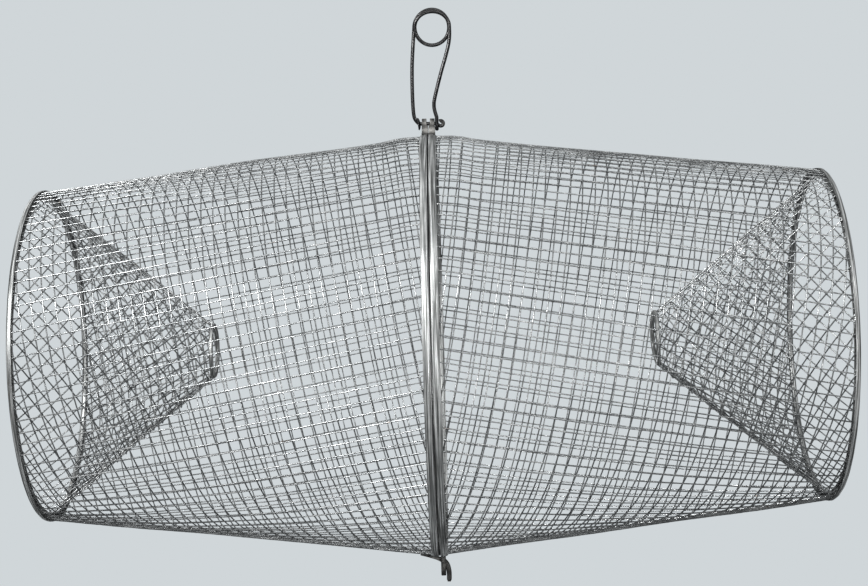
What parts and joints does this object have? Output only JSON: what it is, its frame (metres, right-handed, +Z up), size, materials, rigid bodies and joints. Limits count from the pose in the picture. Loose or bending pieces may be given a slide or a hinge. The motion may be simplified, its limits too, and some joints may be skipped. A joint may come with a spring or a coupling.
{
  "type": "torpedo wire trap",
  "caption": "Torpedo-shaped wire-mesh trap: two tapered baskets hooked together below and clipped above, each with an inward funnel; hangs from its sprung clip.",
  "frame": {"origin": "centre of the clip's coil, where the line is tied", "axes": "+X runs along the trap from the left half to the right half, +Z is up the clip, and -Y faces the viewer"},
  "size_m": [0.423, 0.2288, 0.3137],
  "materials": {
    "mesh_wire": "dull galvanised welded wire mesh, grey with bright glints",
    "sheet_band": "galvanised folded sheet, mid grey with a soft sheen",
    "spring_wire": "oil-blackened spring wire, near black with narrow highlights"
  },
  "bodies": {
    "clip": {"clip_wire": "spring_wire"},
    "spring_leg": {"clip_spring_leg": "spring_wire"},
    "left_half": {"left_body_mesh": "mesh_wire", "left_funnel_mesh": "mesh_wire", "left_centre_rim": "sheet_band", "left_end_rim": "sheet_band", "left_throat_ring": "sheet_band", "left_latch_ear": "sheet_band", "left_hook_tongue": "sheet_band"},
    "right_half": {"right_body_mesh": "mesh_wire", "right_funnel_mesh": "mesh_wire", "right_centre_rim": "sheet_band", "right_end_rim": "sheet_band", "right_throat_ring": "sheet_band", "right_latch_ear": "sheet_band", "right_hook_loop": "sheet_band"}
  },
  "joints": [
    {"name": "basket_swing", "type": "hinge", "parent": "clip", "child": "left_half", "pos_m": [-0.0034, 0, -0.0531], "axis": [1, 0, 0], "range_deg": [-90, 90]},
    {"name": "trap_opening", "type": "hinge", "parent": "left_half", "child": "right_half", "pos_m": [-0.0024, 0, -0.2936], "axis": [0, 1, 0], "range_deg": [0, 90]},
    {"name": "clip_release", "type": "hinge", "parent": "clip", "child": "spring_leg", "pos_m": [0.0096, -0.0017, 0.0007], "axis": [-1, 0, 0], "range_deg": [0, 3], "stiffness_Nm_per_rad": 0.8}
  ]
}
